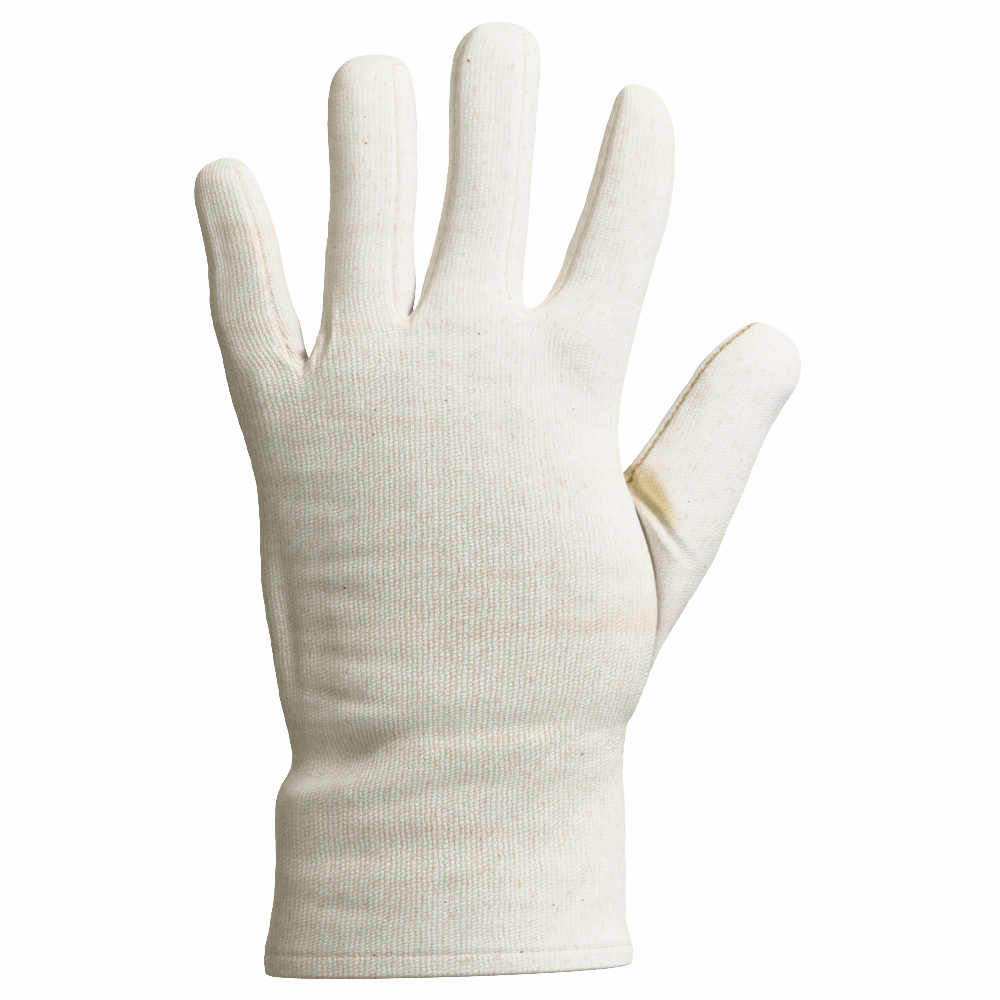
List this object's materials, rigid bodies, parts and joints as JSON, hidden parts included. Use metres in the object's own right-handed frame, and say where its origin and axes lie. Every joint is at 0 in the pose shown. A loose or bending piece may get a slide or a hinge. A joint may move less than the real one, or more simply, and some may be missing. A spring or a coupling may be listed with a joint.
{
  "type": "cotton work glove",
  "caption": "Cut-and-sewn cotton jersey work glove for a left hand, with gusseted fingers, an inserted thumb and a hemmed open cuff, in the shape it has when worn.",
  "frame": {"origin": "middle of the hand opening, level with the hem", "axes": "+Z the way the fingers point, +X the thumb side, +Y the palm side, -Y the back of the hand"},
  "size_m": [0.1587, 0.0494, 0.2479],
  "materials": {
    "cotton_jersey": "matt undyed cotton jersey with coarse rows of knitting"
  },
  "bodies": {
    "root": {"back_panel": "cotton_jersey", "palm_panel": "cotton_jersey", "fourchette_little_ring": "cotton_jersey", "fourchette_ring_middle": "cotton_jersey", "fourchette_middle_index": "cotton_jersey", "thumb_back": "cotton_jersey", "thumb_palm": "cotton_jersey", "cuff_hem": "cotton_jersey"}
  },
  "joints": []
}
